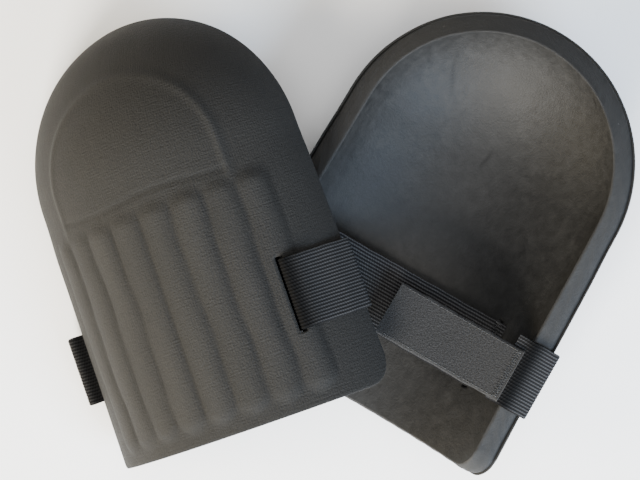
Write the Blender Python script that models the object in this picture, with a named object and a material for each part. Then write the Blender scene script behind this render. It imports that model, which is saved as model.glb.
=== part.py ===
"""A pair of moulded foam knee pads with ribbed kneeling faces and hook-and-loop straps.

Pad B lies on the floor with its hollow up. Pad A lies dome up across its edge. Both pads
are the same: a foam shell with a thin facing, one elastic webbing threaded through two
slots, a loop tape end and a webbing tail with a hook tape. Metres, +Z up.
"""

import math

import bmesh
import bpy
from mathutils import Matrix, Vector

# Shell of a pad. Pad coordinates: X across, Y along from the open bottom edge, Z up the dome.
HALF_WIDTH = 0.084
RISE = 0.050
LENGTH = 0.226
DOME_NARROWING = 0.003
WALL = 0.014
FACING = 0.0012
FACING_GAP = 0.0003
CORNER_RADIUS = 0.014

RADIUS = (HALF_WIDTH**2 + RISE**2) / (2 * RISE)
AXIS_DROP = RADIUS - RISE
EDGE_ANGLE = math.asin(HALF_WIDTH / RADIUS)
DOME_START = LENGTH - HALF_WIDTH + DOME_NARROWING

# Moulded ribs of the kneeling face.
RIB_PITCH = math.radians(10.75)
RIBS_PER_SIDE = 4
RIB_HEIGHT = 0.0018
RIB_START, RIB_END, RIB_FADE = 0.009, 0.127, 0.005
CREST_FROM, CREST_TO = 0.27, 0.73

# Slots and webbing. The loop end leaves a slot among the ribs, the tail one near the rim.
LOOP_SLOT_ANGLE = 3.5 * RIB_PITCH
TAIL_SLOT_ANGLE = math.radians(55.0)
SLOT_WIDTH, SLOT_LENGTH = 0.0040, 0.0405
STRAP_Y = 0.058
WEB_WIDTH, WEB_THICK = 0.038, 0.0016
WEB_CLEAR = 0.0004
BEND = 0.0016
LOOP_WIDTH, LOOP_THICK, LOOP_LENGTH = 0.030, 0.0018, 0.076
LOOP_OFFSET = -0.0028
HOOK_WIDTH, HOOK_THICK, HOOK_LENGTH = 0.030, 0.0014, 0.050
TACK_THICK, TACK_LENGTH = 0.0005, 0.004
PLY_GAP = 0.0003
HINGE_GAP = 0.0011
TAIL_TIP_X = 0.054
TAIL_FOLD_X = 0.024
TAIL_TUCK, LOOP_TUCK = 0.0056, 0.0088
TAIL_SAG, LOOP_SAG = 0.018, 0.006
SLACK = 0.0059

# Where the pads lie. Yaw, roll and pitch are about Z, Y and X.
SHIFT = Vector((-0.0046, 0.00146, 0.0))
A_PLACE = (-0.034, -0.0985, 0.0418)
A_YAW, A_ROLL, A_PITCH = math.radians(19.3), math.radians(-23.5), math.radians(-3.0)
B_PLACE = (0.0135, -0.0857)
B_YAW, B_ROLL = math.radians(-29.6), -RIB_PITCH / 2


def clear_scene():
    for item in list(bpy.data.objects):
        bpy.data.objects.remove(item, do_unlink=True)


def material(name, colour, roughness):
    made = bpy.data.materials.new(name)
    made.use_nodes = True
    shader = made.node_tree.nodes["Principled BSDF"]
    shader.inputs["Base Color"].default_value = (*colour, 1.0)
    shader.inputs["Roughness"].default_value = roughness
    shader.inputs["Metallic"].default_value = 0.0
    made.diffuse_color = (*colour, 1.0)
    return made


def rise_and_fall(value, start, end, fade):
    edge = min(value - start, end - value) / fade
    edge = max(0.0, min(1.0, edge))
    return edge * edge * (3 - 2 * edge)


def rib(angle, y):
    """Height of the moulded ribs above the valleys between them."""
    phase = abs(angle) / RIB_PITCH
    if phase >= RIBS_PER_SIDE or y > RIB_END:
        return 0.0
    part = phase - math.floor(phase)
    flank = min(part / CREST_FROM, (1 - part) / (1 - CREST_TO), 1.0)
    return RIB_HEIGHT * max(flank, 0.0) * rise_and_fall(y, RIB_START, RIB_END, RIB_FADE)


def columns():
    """Angles across the shell: both sides of every rib, then the flank out to the rim."""
    side = []
    for i in range(RIBS_PER_SIDE):
        side += [(i + part) * RIB_PITCH for part in (CREST_FROM, CREST_TO, 1.0)]
    last = side[-1]
    side += [last + (EDGE_ANGLE - last) * part for part in (0.3, 0.55, 0.76, 0.9, 0.975, 1.0)]
    return [-a for a in reversed(side)] + [0.0] + side


def corner_start(angle):
    """Where the rounded bottom corner makes the shell start at this angle."""
    from_rim = (EDGE_ANGLE - abs(angle)) * RADIUS
    if from_rim >= CORNER_RADIUS:
        return 0.0
    return CORNER_RADIUS - math.sqrt(CORNER_RADIUS**2 - (CORNER_RADIUS - from_rim) ** 2)


def shell_point(across, up, y, lift, with_ribs):
    """Point over the shell; across and up span the dome's half disc, y the straight part."""
    reach = math.hypot(across, up)
    angle = reach * EDGE_ANGLE
    radius = RADIUS + lift + (rib(angle, y) if with_ribs and up == 0 else 0.0)
    side = across / reach if reach else 0.0
    ahead = up / reach if reach else 0.0
    spread = radius * math.sin(angle)
    flank = max(0.0, (angle - 0.75 * EDGE_ANGLE) / (0.25 * EDGE_ANGLE))
    widening = DOME_NARROWING * flank * flank * (1 - y / DOME_START if up == 0 else 0.0)
    narrow = DOME_NARROWING * flank * flank
    x = side * (spread - narrow + widening)
    return Vector((x, y + ahead * (spread - narrow), radius * math.cos(angle) - AXIS_DROP))


def shell_grid(lift, with_ribs):
    angles = columns()
    rows = []
    straight = (0.0, RIB_START, RIB_START + RIB_FADE / 2, RIB_START + RIB_FADE, 0.045, 0.085,
                RIB_END - RIB_FADE, RIB_END - RIB_FADE / 2, RIB_END, DOME_START)
    for y in straight:
        row = []
        for angle in angles:
            start = corner_start(angle)
            at = y if y > 0.04 else start + y * (0.04 - start) / 0.04
            row.append(shell_point(angle / EDGE_ANGLE, 0.0, at, lift, with_ribs))
        rows.append(row)
    steps = 8
    for step in range(1, steps + 1):
        t = math.sin(step / steps * math.pi / 2)
        row = []
        for angle in angles:
            u = angle / EDGE_ANGLE
            across, up = u * math.sqrt(1 - t * t / 2), t * math.sqrt(1 - u * u / 2)
            row.append(shell_point(across, up, DOME_START, lift, False))
        rows.append(row)
    return rows


def finish(name, mesh, parent, look):
    bmesh.ops.remove_doubles(mesh, verts=mesh.verts, dist=1e-6)
    bmesh.ops.recalc_face_normals(mesh, faces=mesh.faces)
    data = bpy.data.meshes.new(name)
    mesh.to_mesh(data)
    mesh.free()
    made = bpy.data.objects.new(name, data)
    data.materials.append(look)
    bpy.context.scene.collection.objects.link(made)
    made.parent = parent
    return made


def shell(name, outer, inner, with_ribs, parent, look):
    """A closed shell between two lifts of the same grid; the inner one may be smooth."""
    mesh = bmesh.new()
    grids = [shell_grid(outer, True), shell_grid(inner, with_ribs)]
    verts = [[[mesh.verts.new(p) for p in row] for row in grid] for grid in grids]
    rows, cols = len(grids[0]), len(grids[0][0])
    for layer in verts:
        for i in range(rows - 1):
            for j in range(cols - 1):
                mesh.faces.new((layer[i][j], layer[i][j + 1], layer[i + 1][j + 1], layer[i + 1][j]))
    loop = [(0, j) for j in range(cols)] + [(i, cols - 1) for i in range(1, rows)]
    loop += [(rows - 1, j) for j in range(cols - 2, -1, -1)] + [(i, 0) for i in range(rows - 2, 0, -1)]
    for (a, b), (c, d) in zip(loop, loop[1:] + loop[:1]):
        mesh.faces.new((verts[0][a][b], verts[0][c][d], verts[1][c][d], verts[1][a][b]))
    return finish(name, mesh, parent, look)


def slot_cutter(name, angle, parent, look):
    mesh = bmesh.new()
    bmesh.ops.create_cube(mesh, size=1.0)
    made = finish(name, mesh, parent, look)
    for vert in made.data.vertices:
        vert.co = Vector((vert.co.x * SLOT_WIDTH, vert.co.y * SLOT_LENGTH, vert.co.z * 0.04))
    made.location = (RADIUS * math.sin(angle), STRAP_Y, RADIUS * math.cos(angle) - AXIS_DROP)
    made.rotation_euler = (0.0, angle, 0.0)
    made.hide_render = True
    made.display_type = "WIRE"
    return made


def cut_slots(body, cutters):
    for i, cutter in enumerate(cutters):
        cut = body.modifiers.new(f"slot_{i}", "BOOLEAN")
        cut.operation = "DIFFERENCE"
        cut.solver = "EXACT"
        cut.object = cutter


def polar(angle, radius):
    return Vector((radius * math.sin(angle), radius * math.cos(angle) - AXIS_DROP))


def arc(centre, radius, start, end, steps):
    """Points on a circle in the pad's X-Z plane, angles from +X towards +Z."""
    return [centre + radius * Vector((math.cos(a), math.sin(a)))
            for a in (start + (end - start) * i / steps for i in range(steps + 1))]


def rounded(corners, radius, steps=4):
    """A path through these corners with each inner one rounded."""
    path = [corners[0]]
    for before, at, after in zip(corners, corners[1:], corners[2:]):
        come, go = (at - before).normalized(), (after - at).normalized()
        turn = math.acos(max(-1.0, min(1.0, come.dot(go))))
        if turn < 0.15:
            path.append(at)
            continue
        back = min(radius * math.tan(turn / 2), 0.45 * (at - before).length,
                   0.45 * (after - at).length)
        bend = back / math.tan(turn / 2)
        side = 1 if come.x * go.y - come.y * go.x > 0 else -1
        normal = Vector((-come.y, come.x)) * side
        centre = at - come * back + normal * bend
        first = math.atan2(*reversed(at - come * back - centre))
        path += arc(centre, bend, first, first + side * turn, steps)
    return path + [corners[-1]]


def ribbon(name, path, thick, width, parent, origin, look, round_start=False, offset=0.0):
    """A strip of webbing or tape: the path is its centre line in the X-Z plane."""
    left, right = [], []
    for i, at in enumerate(path):
        along = (path[min(i + 1, len(path) - 1)] - path[max(i - 1, 0)]).normalized()
        normal = Vector((-along.y, along.x)) * thick / 2
        left.append(at + normal)
        right.append(at - normal)
    outline = left + right[::-1]
    if round_start:
        along = (path[1] - path[0]).normalized()
        normal = Vector((-along.y, along.x))
        outline += [path[0] - (normal * math.cos(t) + along * math.sin(t)) * thick / 2
                    for t in (math.pi * k / 4 for k in (1, 2, 3))]
    mesh = bmesh.new()
    ends = []
    for y in (STRAP_Y + offset - width / 2, STRAP_Y + offset + width / 2):
        ends.append([mesh.verts.new((p.x - origin.x, y, p.y - origin.y)) for p in outline])
    count = len(outline)
    for i in range(count):
        j = (i + 1) % count
        mesh.faces.new((ends[0][i], ends[0][j], ends[1][j], ends[1][i]))
    half = len(path)
    for end in ends:
        for i in range(half - 1):
            mesh.faces.new((end[i], end[i + 1], end[2 * half - 2 - i], end[2 * half - 1 - i]))
        if round_start:
            mesh.faces.new([end[0], end[2 * half - 1]] + end[2 * half:])
    return finish(name, mesh, parent, look)


def loop_outer_run(side):
    """Webbing from the crown to the slot, then out over the ribs and the flank to the rim."""
    inside = RADIUS - WALL - WEB_CLEAR - WEB_THICK / 2
    outside = RADIUS + RIB_HEIGHT + WEB_CLEAR + WEB_THICK / 2
    flank = RADIUS + WEB_CLEAR + WEB_THICK / 2
    ribbed = RIBS_PER_SIDE * RIB_PITCH
    corners = [polar(side * LOOP_SLOT_ANGLE * part, inside) for part in (0.0, 0.3, 0.6, 1.0)]
    corners.append(polar(side * LOOP_SLOT_ANGLE, outside))
    for part in (0.45, 0.95):
        angle = LOOP_SLOT_ANGLE + (ribbed - LOOP_SLOT_ANGLE) * part
        corners.append(polar(side * angle, outside))
    for part in (0.3, 0.65, 1.0):
        corners.append(polar(side * (ribbed + (EDGE_ANGLE - ribbed) * part), flank))
    return corners


def tail_outer_run(side, slack):
    """Webbing from the crown to the slot near the rim, and out round the rim with slack."""
    inside = RADIUS - WALL - WEB_CLEAR - WEB_THICK / 2
    flank = RADIUS + WEB_CLEAR + WEB_THICK / 2
    corners = [polar(side * TAIL_SLOT_ANGLE * i / 8, inside) for i in range(9)]
    if slack:
        lifts = ((0.0, 1.0), (0.45, 1.0), (0.9, 0.75))
        return corners + [polar(side * (TAIL_SLOT_ANGLE + (EDGE_ANGLE - TAIL_SLOT_ANGLE) * part),
                                flank + slack * lift) for part, lift in lifts]
    return corners + [polar(side * (TAIL_SLOT_ANGLE + (EDGE_ANGLE - TAIL_SLOT_ANGLE) * part), flank)
                      for part in (0.0, 0.5, 1.0)]


def rim_frame(side):
    """Outer rim corner, direction past the rim, and direction inward along the rim face."""
    edge = polar(side * EDGE_ANGLE, RADIUS)
    past = Vector((side * math.cos(EDGE_ANGLE), -math.sin(EDGE_ANGLE)))
    inward = Vector((-side * math.sin(EDGE_ANGLE), -math.cos(EDGE_ANGLE)))
    return edge, past, inward


def wrap(side, depth):
    """Webbing over the rim face, from its outer bend to depth inside the inner rim corner."""
    edge, past, inward = rim_frame(side)
    off = WEB_CLEAR + WEB_THICK / 2
    return [edge - inward * off + past * off, edge + inward * (WALL + depth) + past * off]


def across(side, start, end_x, sag):
    """Corners of a strap lying over the hollow with a soft sag, from the rim to end_x."""
    span = end_x - start.x
    return [start + Vector((span * part, sag * math.sin(part * math.pi * 0.55)))
            for part in (0.12, 0.25, 0.4, 0.55, 0.7, 0.85, 1.0)]


def along_wall(side, end_angle, depth, steps):
    """Corners of a strap tucked against the foam inside the hollow."""
    inner = RADIUS - WALL - depth
    start = EDGE_ANGLE - 0.03
    return [polar(side * (start + (end_angle - start) * i / steps), inner)
            for i in range(1, steps + 1)]


def beside(path, distance):
    """The path moved square to itself; positive is towards the foam."""
    moved = []
    for i, at in enumerate(path):
        along = (path[min(i + 1, len(path) - 1)] - path[max(i - 1, 0)]).normalized()
        normal = Vector((-along.y, along.x))
        moved.append(at + normal * distance * (1 if normal.y > 0 else -1))
    return moved


def loop_end(tag, side, tucked, pad, looks):
    """The moving loop end: webbing over the rim, the loop tape and its seam."""
    over = wrap(side, LOOP_TUCK if tucked else WEB_CLEAR + WEB_THICK / 2)
    if tucked:
        run = along_wall(side, EDGE_ANGLE - LOOP_LENGTH / (RADIUS - WALL), LOOP_TUCK, 8)
    else:
        run = across(side, over[-1], over[-1].x - side * LOOP_LENGTH, LOOP_SAG)
    hinge = over[0]
    pivot = joint_empty(f"{tag}_loop_pivot", hinge, pad)
    web = rounded(over + run[:1], BEND)
    ribbon(f"{tag}_loop_webbing", web, WEB_THICK, WEB_WIDTH, pivot, hinge, looks["webbing"], True)
    lead = [over[-1].lerp(run[0], 0.3)] + run
    tape = beside(lead, -(WEB_THICK + LOOP_THICK) / 2 - PLY_GAP)
    ribbon(f"{tag}_loop_tape", tape, LOOP_THICK, LOOP_WIDTH, pivot, hinge, looks["loop"],
           offset=LOOP_OFFSET)
    seam = beside([tape[0].lerp(tape[1], k) for k in (0.25, 0.7)],
                  -(LOOP_THICK + TACK_THICK) / 2 - PLY_GAP)
    ribbon(f"{tag}_loop_seam", seam, TACK_THICK, LOOP_WIDTH - 0.004, pivot, hinge,
           looks["thread"], offset=LOOP_OFFSET)
    return hinge


def joint_empty(name, at, pad):
    made = bpy.data.objects.new(name, None)
    bpy.context.scene.collection.objects.link(made)
    made.parent = pad
    made.location = (at.x, 0.0, at.y)
    return made


def tail_path(side, tucked):
    """Centre line of the tail from the inner rim corner to its tip under the loop tape."""
    over = wrap(side, TAIL_TUCK if tucked else WEB_CLEAR + WEB_THICK / 2)
    if tucked:
        return over, along_wall(side, -math.asin(TAIL_TIP_X / (RADIUS - WALL)), TAIL_TUCK, 13)
    return over, across(side, over[-1], -side * TAIL_TIP_X, TAIL_SAG)


def tail_pieces(tag, path, pivot, hinge, looks):
    """The moving tail: webbing, hook tape on the side facing the foam, and the end tack."""
    ribbon(f"{tag}_tail_webbing", path, WEB_THICK, WEB_WIDTH, pivot, hinge, looks["webbing"], True)
    hook, length = [], 0.0
    for before, at in zip(path[::-1], path[-2::-1]):
        if not hook:
            hook.append(before)
        step = (at - before).length
        if length + step >= HOOK_LENGTH:
            hook.append(before.lerp(at, (HOOK_LENGTH - length) / step))
            break
        length += step
        hook.append(at)
    hook[0] = hook[0].lerp(hook[1], 0.002 / (hook[1] - hook[0]).length)
    tape = beside(hook, (WEB_THICK + HOOK_THICK) / 2 + PLY_GAP)
    ribbon(f"{tag}_hook_tape", tape, HOOK_THICK, HOOK_WIDTH, pivot, hinge, looks["hook"])
    back = (path[-2] - path[-1]).normalized()
    tack = beside([path[-1] + back * 0.003, path[-1] + back * (0.003 + TACK_LENGTH)],
                  -(WEB_THICK + TACK_THICK) / 2 - PLY_GAP)
    ribbon(f"{tag}_tail_tack", tack, TACK_THICK, WEB_WIDTH - 0.003, pivot, hinge, looks["thread"])


def short_of(path, gap):
    """The path with its last point pulled back by gap."""
    back = (path[-2] - path[-1]).normalized()
    return path[:-1] + [path[-1] + back * gap]


def build_pad(tag, loop_side, tail_from_rim, pad, looks):
    tail_side = -loop_side
    cutters = [slot_cutter(f"{tag}_slot_cutter_{n}", angle, pad, looks["foam"])
               for n, angle in (("loop", loop_side * LOOP_SLOT_ANGLE),
                                ("tail", tail_side * TAIL_SLOT_ANGLE))]
    facing = shell(f"{tag}_facing", 0.0, -FACING, True, pad, looks["facing"])
    foam = shell(f"{tag}_foam", -FACING - FACING_GAP, -WALL, False, pad, looks["foam"])
    for body in (facing, foam):
        cut_slots(body, cutters)
    over, run = tail_path(tail_side, tail_from_rim)
    loop_hinge = loop_end(tag, loop_side, tail_from_rim, pad, looks)
    loop_run = loop_outer_run(loop_side)[1:] + [loop_hinge]
    tail_run = tail_outer_run(tail_side, SLACK if tail_from_rim else 0.0)
    if tail_from_rim:
        hinge = over[0]
        moving = rounded(over + run, BEND)
        fixed_path = rounded(short_of(tail_run + [hinge], HINGE_GAP), BEND)
    else:
        fold_x = tail_side * TAIL_FOLD_X
        before = [p for p in run if (p.x - fold_x) * tail_side > 0]
        after = run[len(before):]
        hinge = before[-1].lerp(after[0], (fold_x - before[-1].x) / (after[0].x - before[-1].x))
        moving = [hinge] + [p for p in after if abs(p.x - hinge.x) > 0.004]
        fixed_path = rounded(short_of(tail_run + over + before + [hinge], HINGE_GAP), BEND)
    pivot = joint_empty(f"{tag}_tail_pivot", hinge, pad)
    tail_pieces(tag, moving, pivot, hinge, looks)
    loop_path = rounded(short_of(loop_run, HINGE_GAP), BEND)
    whole = loop_path[::-1] + fixed_path
    ribbon(f"{tag}_webbing", whole, WEB_THICK, WEB_WIDTH, pad, Vector((0.0, 0.0)),
           looks["webbing"])


def pad_frame(name, place, turn):
    made = bpy.data.objects.new(name, None)
    bpy.context.scene.collection.objects.link(made)
    made.matrix_world = Matrix.Translation(Vector(place) + SHIFT) @ turn
    return made


def main():
    clear_scene()
    looks = {
        "facing": material("facing_knit", (0.060, 0.058, 0.054), 0.85),
        "foam": material("foam_charcoal", (0.050, 0.050, 0.049), 0.70),
        "webbing": material("elastic_webbing", (0.036, 0.036, 0.038), 0.80),
        "loop": material("loop_tape", (0.070, 0.070, 0.070), 0.95),
        "hook": material("hook_tape", (0.020, 0.020, 0.020), 0.60),
        "thread": material("sewing_thread", (0.085, 0.085, 0.085), 0.75),
    }
    turn_a = (Matrix.Rotation(A_YAW, 4, "Z") @ Matrix.Rotation(A_PITCH, 4, "X")
              @ Matrix.Rotation(A_ROLL, 4, "Y"))
    turn_b = Matrix.Rotation(B_YAW, 4, "Z") @ Matrix.Rotation(math.pi + B_ROLL, 4, "Y")
    crest = (RADIUS + RIB_HEIGHT) * math.cos((CREST_TO - CREST_FROM) / 2 * RIB_PITCH)
    low_b = crest - AXIS_DROP * math.cos(B_ROLL)
    pad_a = pad_frame("pad_a", A_PLACE, turn_a)
    pad_b = pad_frame("pad_b", (*B_PLACE[:2], low_b), turn_b)
    build_pad("pad_a", 1, True, pad_a, looks)
    build_pad("pad_b", -1, False, pad_b, looks)


main()
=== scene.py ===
import math

import bmesh
import bpy
import numpy as np
from mathutils import Matrix, Vector

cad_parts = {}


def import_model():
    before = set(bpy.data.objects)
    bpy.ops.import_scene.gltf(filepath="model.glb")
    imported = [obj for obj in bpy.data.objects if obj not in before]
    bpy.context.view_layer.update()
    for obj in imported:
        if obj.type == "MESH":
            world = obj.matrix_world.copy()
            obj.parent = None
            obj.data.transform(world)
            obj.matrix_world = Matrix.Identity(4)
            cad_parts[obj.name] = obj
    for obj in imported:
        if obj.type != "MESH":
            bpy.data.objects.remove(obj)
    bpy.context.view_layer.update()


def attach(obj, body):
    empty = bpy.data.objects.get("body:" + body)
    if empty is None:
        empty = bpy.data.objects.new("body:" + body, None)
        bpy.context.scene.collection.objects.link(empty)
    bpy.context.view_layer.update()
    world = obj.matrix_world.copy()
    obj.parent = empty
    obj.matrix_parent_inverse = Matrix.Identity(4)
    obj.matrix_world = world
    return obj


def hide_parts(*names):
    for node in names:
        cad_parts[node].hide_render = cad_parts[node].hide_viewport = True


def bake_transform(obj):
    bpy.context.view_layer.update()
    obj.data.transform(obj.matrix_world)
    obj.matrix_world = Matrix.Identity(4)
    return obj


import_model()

# ---------------------------------------------------------------- sizes, as in the CAD
HALF_WIDTH, RISE, LENGTH, DOME_NARROWING = 0.084, 0.050, 0.226, 0.003
WALL, FACING, FACING_GAP, CORNER_RADIUS = 0.014, 0.0012, 0.0003, 0.014
RADIUS = (HALF_WIDTH**2 + RISE**2) / (2 * RISE)
AXIS_DROP = RADIUS - RISE
EDGE_ANGLE = math.asin(HALF_WIDTH / RADIUS)
DOME_START = LENGTH - HALF_WIDTH + DOME_NARROWING
RIB_PITCH, RIBS_PER_SIDE = math.radians(10.75), 4
RIB_HEIGHT, RIB_START, RIB_END = 0.0018, 0.009, 0.127
LOOP_SLOT_ANGLE, TAIL_SLOT_ANGLE = 3.5 * RIB_PITCH, math.radians(55.0)
SLOT_WIDTH, SLOT_LENGTH = 0.0040, 0.0405
STRAP_Y, WEB_WIDTH, WEB_THICK, WEB_CLEAR, BEND = 0.058, 0.038, 0.0016, 0.0004, 0.0016
LOOP_WIDTH, LOOP_THICK, LOOP_LENGTH, LOOP_OFFSET = 0.030, 0.0018, 0.076, -0.0028
HOOK_WIDTH, HOOK_THICK, HOOK_LENGTH = 0.030, 0.0014, 0.050
PLY_GAP, TACK_LENGTH = 0.0003, 0.004
TAIL_TIP_X, TAIL_FOLD_X = 0.054, 0.024
TAIL_TUCK, LOOP_TUCK = 0.0056, 0.0088
TAIL_SAG, LOOP_SAG, SLACK = 0.018, 0.006, 0.0059
SHIFT = Vector((-0.0046, 0.00146, 0.0))
BEAD_ANGLE = 0.053 / RADIUS

TURN_A = (Matrix.Rotation(math.radians(19.3), 4, "Z") @ Matrix.Rotation(math.radians(-3.0), 4, "X")
          @ Matrix.Rotation(math.radians(-23.5), 4, "Y"))
TURN_B = (Matrix.Rotation(math.radians(-29.6), 4, "Z")
          @ Matrix.Rotation(math.pi - RIB_PITCH / 2, 4, "Y"))
LOW_B = (RADIUS + RIB_HEIGHT) * math.cos(0.23 * RIB_PITCH) - AXIS_DROP * math.cos(RIB_PITCH / 2)
PLACE = {
    "pad_a": Matrix.Translation(Vector((-0.034, -0.0985, 0.0418)) + SHIFT) @ TURN_A,
    "pad_b": Matrix.Translation(Vector((0.0135, -0.0857, LOW_B)) + SHIFT) @ TURN_B,
}


# ---------------------------------------------------------------- numbers of the visual model
GRID_ACROSS, GRID_ALONG, GRID_DOME = 147, 104, 53  # points of the shell grid
CORNER_BLEND = 0.04  # the rounded open corners fade out over this length
WEB_RIBS, WEB_RIB_DEPTH, WEB_RIB_PITCH = 22, 0.00022, 0.00173
POINTS_PER_RIB, FLAT_POINTS = 4, 40  # points across a ribbed and a plain strap
LOOP_STEP, TAIL_STEP, TAPE_STEP = 0.0008, 0.0009, 0.0009  # spacing of points along a strap
HINGE_REACH, HINGE_HALF = 5, 0.0024  # steps each side of a hinge in the middle piece; half a length across the hinge
CAP_CORNER = 1.0  # radians; corners sharper than this keep a hard edge
TACK_THREAD, SEAM_THREAD, EDGE_THREAD = 0.0005, 0.0004, 0.00020
LOOP_SLOT_FOLD, LOOP_RIM_FOLD = (0.0030, 0.0080), (-0.0010, 0.0060)  # shift and width of the painted shade at a fold
TAIL_SLOT_FOLD, TAIL_RIM_FOLD = (0.0018, 0.0062), (0.0, 0.0040)
FLOOR_SIZE, FLOOR_Z = 3.0, -0.0005
CAMERA_HEIGHT, CAMERA_LENS = 1.1, 111.8
TONE = 0.60  # scales every material colour down to the photo's exposure


# ---------------------------------------------------------------- node materials
class Nodes:
    """A small helper that adds and joins shader nodes."""

    def __init__(self, name):
        self.mat = bpy.data.materials.new(name)
        self.mat.use_nodes = True
        self.tree = self.mat.node_tree
        self.shader = self.tree.nodes["Principled BSDF"]

    def add(self, kind, **values):
        node = self.tree.nodes.new(kind)
        for key, value in values.items():
            if key in node.inputs:
                node.inputs[key].default_value = value
            else:
                setattr(node, key, value)
        return node

    def join(self, out, into):
        self.tree.links.new(out, into)

    def ramp(self, factor, stops):
        node = self.add("ShaderNodeValToRGB")
        ends = node.color_ramp.elements
        while len(ends) < len(stops):
            ends.new(0.5)
        for end, (at, colour) in zip(ends, stops):
            end.position, end.color = at, (*(part * TONE for part in colour), 1.0)
        self.join(factor, node.inputs["Fac"])
        return node.outputs["Color"]

    def math(self, kind, a, b=0.0):
        node = self.add("ShaderNodeMath", operation=kind)
        for i, value in enumerate((a, b)):
            if isinstance(value, (int, float)):
                node.inputs[i].default_value = value
            else:
                self.join(value, node.inputs[i])
        return node.outputs[0]

    def mix(self, factor, a, b):
        node = self.add("ShaderNodeMix", data_type="RGBA", blend_type="MIX")
        for at, value in ((0, factor), (6, a), (7, b)):
            if isinstance(value, (int, float)):
                node.inputs[at].default_value = value
            elif isinstance(value, tuple):
                node.inputs[at].default_value = (*(part * TONE for part in value), 1.0)
            else:
                self.join(value, node.inputs[at])
        return node.outputs[2]

    def scaled(self, source, scale):
        node = self.add("ShaderNodeMapping")
        node.inputs["Scale"].default_value = scale
        self.join(source, node.inputs["Vector"])
        return node.outputs["Vector"]

    def noise(self, vector, scale, detail=2.0, rough=0.5):
        node = self.add("ShaderNodeTexNoise", Scale=scale, Detail=detail, Roughness=rough)
        self.join(vector, node.inputs["Vector"])
        return node.outputs["Fac"]

    def bump(self, height, strength, distance, after=None):
        node = self.add("ShaderNodeBump", Strength=strength, Distance=distance)
        self.join(height, node.inputs["Height"])
        if after is not None:
            self.join(after, node.inputs["Normal"])
        return node.outputs["Normal"]

    def finish(self, colour, normal, rough=None, sheen=0.0, sheen_rough=0.5, specular=0.3):
        self.join(colour, self.shader.inputs["Base Color"])
        if normal is not None:
            self.join(normal, self.shader.inputs["Normal"])
        if isinstance(rough, float):
            self.shader.inputs["Roughness"].default_value = rough
        elif rough is not None:
            self.join(rough, self.shader.inputs["Roughness"])
        self.shader.inputs["Sheen Weight"].default_value = sheen
        self.shader.inputs["Sheen Roughness"].default_value = sheen_rough
        self.shader.inputs["Specular IOR Level"].default_value = specular
        return self.mat


def facing_material():
    """Fine charcoal knit laminated on the foam: tiny stitches, faint mottling, a painted highlight on the
    rib crests and bead, painted shade in the rib valleys and crease.
    """
    n = Nodes("facing_knit_detail")
    uv = n.add("ShaderNodeTexCoord").outputs["UV"]
    knit = n.scaled(uv, (800.0, 620.0, 1.0))
    cells = n.add("ShaderNodeTexVoronoi", Scale=1.0, Randomness=0.45)
    n.join(knit, cells.inputs["Vector"])
    grain = n.noise(uv, 1150.0, 3.0, 0.65)
    course = n.noise(n.scaled(uv, (170.0, 900.0, 1.0)), 1.0, 2.0, 0.5)
    streak = n.noise(n.scaled(uv, (420.0, 34.0, 1.0)), 1.0, 3.0, 0.6)
    mottle = n.noise(uv, 70.0, 5.0, 0.65)
    broad = n.noise(uv, 12.0, 2.0, 0.5)
    crest_highlight = n.add("ShaderNodeAttribute", attribute_name="crest").outputs["Fac"]
    low = n.add("ShaderNodeAttribute", attribute_name="valley_shade").outputs["Fac"]
    base = n.ramp(grain, [(0.36, (0.0085, 0.0083, 0.0078)), (0.64, (0.036, 0.0352, 0.0335))])
    base = n.mix(n.math("MULTIPLY", course, 0.36), base, (0.012, 0.012, 0.0118))
    base = n.mix(n.math("MULTIPLY", streak, 0.32), base, (0.034, 0.0332, 0.031))
    base = n.mix(n.math("MULTIPLY", mottle, 0.34), base, (0.013, 0.013, 0.0128))
    base = n.mix(n.math("MULTIPLY", broad, 0.30), base, (0.030, 0.0295, 0.028))
    # painted highlight on the rib crests and the bead ridge, broken into patches
    base = n.mix(n.math("MULTIPLY", n.math("MULTIPLY", crest_highlight, mottle), 0.42), base,
                 (0.062, 0.0605, 0.057))
    # painted shade in the rib valleys and the crease
    base = n.mix(n.math("MULTIPLY", low, 0.36), base, (0.008, 0.008, 0.0078))
    cut = n.add("ShaderNodeAttribute", attribute_name="cut").outputs["Fac"]
    base = n.mix(n.math("MULTIPLY", cut, 0.8), base, (0.040, 0.0395, 0.0385))
    height = n.math("SUBTRACT", grain, n.math("MULTIPLY", cells.outputs["Distance"], 0.55))
    height = n.math("ADD", height, n.math("MULTIPLY", course, 0.6))
    normal = n.bump(height, 0.60, 0.0006)
    normal = n.bump(streak, 0.20, 0.0008, normal)
    rough = n.math("ADD", n.math("MULTIPLY", mottle, 0.14), 0.70)
    return n.finish(base, normal, rough, 0.02, 0.45, 0.13)


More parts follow.
